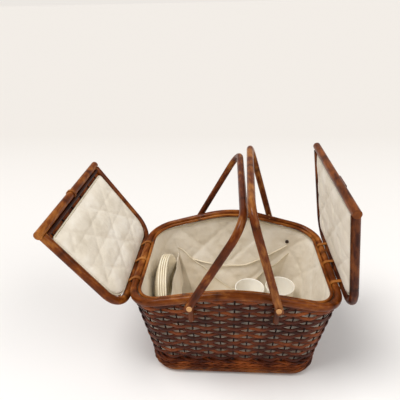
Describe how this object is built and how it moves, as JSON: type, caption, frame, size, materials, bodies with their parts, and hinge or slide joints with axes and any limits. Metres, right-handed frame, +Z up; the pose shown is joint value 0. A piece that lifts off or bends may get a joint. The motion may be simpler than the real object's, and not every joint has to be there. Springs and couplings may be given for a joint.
{
  "type": "picnic basket",
  "caption": "Wicker picnic basket with a quilted lining, two end-hinged padded lids, two swinging hoop handles, a loop and toggle latch, and a set of plates and cups.",
  "frame": {"origin": "underside of the middle base stick, at the middle of the basket's base", "axes": "+X along the basket, from the widely opened lid to the upright one; +Y from the front to the back; +Z up"},
  "size_m": [0.5859, 0.3772, 0.4334],
  "materials": {
    "rattan_pole": "satin varnish",
    "woven_cane": "satin varnish",
    "cane_strip": "satin varnish",
    "peg_wood": "satin",
    "quilted_cotton": "matt",
    "cotton_piping": "matt",
    "button": "satin",
    "waxed_cord": "satin",
    "plate_melamine": "gloss",
    "cup_melamine": "gloss"
  },
  "bodies": {
    "basket": {"base_ring": "rattan_pole", "base_panel": "woven_cane", "base_sticks": "rattan_pole", "woven_wall": "woven_cane", "foot_braid": "woven_cane", "rim_pole": "rattan_pole", "inner_rim_cane": "rattan_pole", "handle_posts": "rattan_pole", "handle_pegs": "peg_wood", "lining_walls": "quilted_cotton", "lining_floor": "quilted_cotton", "lining_piping": "cotton_piping", "back_pocket": "quilted_cotton", "pocket_tape": "cotton_piping", "pocket_button": "button", "plate_strap": "quilted_cotton", "strap_stud": "button"},
    "lid_left": {"lid_frame_left": "rattan_pole", "closing_bar_left": "rattan_pole", "lid_panel_left": "woven_cane", "lid_pad_left": "quilted_cotton", "lid_piping_left": "cotton_piping", "hinge_loops_left": "cane_strip", "lid_slat_left": "rattan_pole", "latch_lashing": "waxed_cord"},
    "lid_right": {"lid_frame_right": "rattan_pole", "closing_bar_right": "rattan_pole", "lid_panel_right": "woven_cane", "lid_pad_right": "quilted_cotton", "lid_piping_right": "cotton_piping", "hinge_loops_right": "cane_strip", "toggle_neck": "rattan_pole"},
    "latch_loop": {"latch_loop": "waxed_cord"},
    "toggle": {"toggle_peg": "rattan_pole"},
    "handle_left": {"handle_left": "rattan_pole"},
    "handle_right": {"handle_right": "rattan_pole"},
    "plates": {"plate_1": "plate_melamine", "plate_2": "plate_melamine", "plate_3": "plate_melamine", "plate_4": "plate_melamine"},
    "cup_1": {"cup_1": "cup_melamine"},
    "cup_2": {"cup_2": "cup_melamine"},
    "cup_3": {"cup_3": "cup_melamine"},
    "cup_4": {"cup_4": "cup_melamine"}
  },
  "joints": [
    {"name": "lid_left_hinge", "type": "hinge", "parent": "basket", "child": "lid_left", "pos_m": [-0.205, 0, 0.207], "axis": [0, -1, 0], "range_deg": [-112, 4.5]},
    {"name": "lid_right_hinge", "type": "hinge", "parent": "basket", "child": "lid_right", "pos_m": [0.205, 0, 0.207], "axis": [0, 1, 0], "range_deg": [-63.5, 47.5]},
    {"name": "handle_left_swing", "type": "hinge", "parent": "basket", "child": "handle_left", "pos_m": [-0.0825, 0, 0.23568], "axis": [0, -1, 0], "range_deg": [0, 95]},
    {"name": "handle_right_swing", "type": "hinge", "parent": "basket", "child": "handle_right", "pos_m": [0.085, 0, 0.23568], "axis": [0.0365, 0.9993, 0], "range_deg": [0, 40]},
    {"name": "latch_loop_swing", "type": "hinge", "parent": "lid_left", "child": "latch_loop", "pos_m": [-0.34596, 0, 0.36022], "axis": [0, -1, 0], "range_deg": [-60, 26]},
    {"name": "toggle_turn", "type": "hinge", "parent": "lid_right", "child": "toggle", "pos_m": [0.20946, 0, 0.40555], "axis": [0.9903, 0, 0.1392], "range_deg": [-90, 90]},
    {"name": "plates_lift", "type": "slide", "parent": "basket", "child": "plates", "axis": [-0.1305, 0, 0.9914], "range_m": [0, 0.2]},
    {"name": "cup_1_lift", "type": "slide", "parent": "basket", "child": "cup_1", "axis": [0, 0, 1], "range_m": [0, 0.24]},
    {"name": "cup_2_lift", "type": "slide", "parent": "basket", "child": "cup_2", "axis": [0, 0, 1], "range_m": [0, 0.24]},
    {"name": "cup_3_lift", "type": "slide", "parent": "basket", "child": "cup_3", "axis": [0, 0, 1], "range_m": [0, 0.24]},
    {"name": "cup_4_lift", "type": "slide", "parent": "basket", "child": "cup_4", "axis": [0, 0, 1], "range_m": [0, 0.24]}
  ]
}
